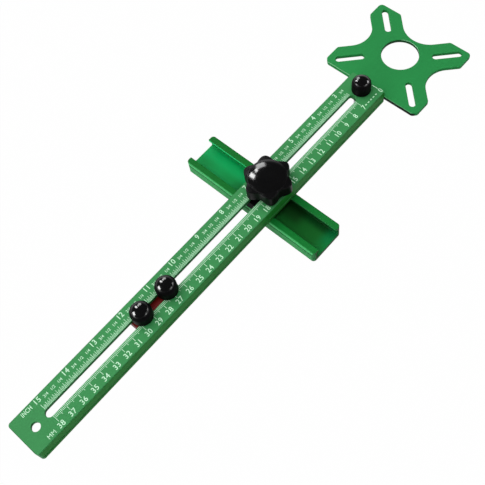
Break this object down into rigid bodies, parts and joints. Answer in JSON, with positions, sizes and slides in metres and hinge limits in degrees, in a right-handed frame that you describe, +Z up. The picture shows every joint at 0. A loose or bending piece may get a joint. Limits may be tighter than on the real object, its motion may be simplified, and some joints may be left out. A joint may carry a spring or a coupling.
{
  "type": "router circle cutting jig",
  "caption": "Slotted scale track with a four-armed router plate, a cross guide channel under a star knob and a sliding pivot block with small dome knobs.",
  "frame": {"origin": "middle of the object's base seen from above, on the plane of the guide channel's underside", "axes": "+X along the measuring track from its tail to the router plate, +Y across it to the inch side of the scale, +Z up out of the track's scale face"},
  "size_m": [0.4276, 0.124, 0.0407],
  "materials": {
    "track_green": "green anodised, fine satin grain",
    "plate_green": "green anodised, satin",
    "guide_green": "green anodised, satin",
    "knob_black": "glossy black moulding",
    "black_plastic": "black moulding",
    "block_red": "dark red moulding",
    "steel": "bright zinc plated",
    "brass": "turned brass"
  },
  "bodies": {
    "track": {"measuring_track": "track_green", "router_plate": "plate_green", "plate_spacer": "black_plastic", "plate_bolt": "steel", "end_knob_washer": "steel"},
    "end_knob": {"end_knob": "knob_black", "end_knob_insert": "brass"},
    "carriage": {"guide_key": "black_plastic", "clamp_plate": "steel", "clamp_stud": "steel", "star_knob_washer": "steel"},
    "guide": {"guide_channel": "guide_green"},
    "star_knob": {"star_knob": "knob_black", "star_knob_insert": "brass"},
    "pivot": {"pivot_block": "block_red", "pivot_pin": "steel", "front_clamp_bolt": "steel", "front_knob_washer": "steel", "rear_clamp_bolt": "steel", "rear_knob_washer": "steel"},
    "front_knob": {"front_knob": "knob_black", "front_knob_insert": "brass"},
    "rear_knob": {"rear_knob": "knob_black", "rear_knob_insert": "brass"}
  },
  "joints": [
    {"name": "end_knob_turn", "type": "hinge", "parent": "track", "child": "end_knob", "pos_m": [0.1318, -0.006, 0.0268], "axis": [0, 0, 1], "range_deg": [0, 540]},
    {"name": "carriage_slide", "type": "slide", "parent": "track", "child": "carriage", "axis": [1, 0, 0], "range_m": [-0.033, 0.078]},
    {"name": "guide_cross_slide", "type": "slide", "parent": "carriage", "child": "guide", "axis": [0, 1, 0], "range_m": [-0.05, 0.04]},
    {"name": "star_knob_turn", "type": "hinge", "parent": "carriage", "child": "star_knob", "pos_m": [0.0252, -0.006, 0.0268], "axis": [0, 0, 1], "range_deg": [0, 540]},
    {"name": "pivot_slide", "type": "slide", "parent": "track", "child": "pivot", "axis": [1, 0, 0], "range_m": [-0.082, 0.042]},
    {"name": "front_knob_turn", "type": "hinge", "parent": "pivot", "child": "front_knob", "pos_m": [-0.07995, -0.006, 0.0268], "axis": [0, 0, 1], "range_deg": [0, 540]},
    {"name": "rear_knob_turn", "type": "hinge", "parent": "pivot", "child": "rear_knob", "pos_m": [-0.10405, -0.006, 0.0268], "axis": [0, 0, 1], "range_deg": [0, 540]}
  ]
}
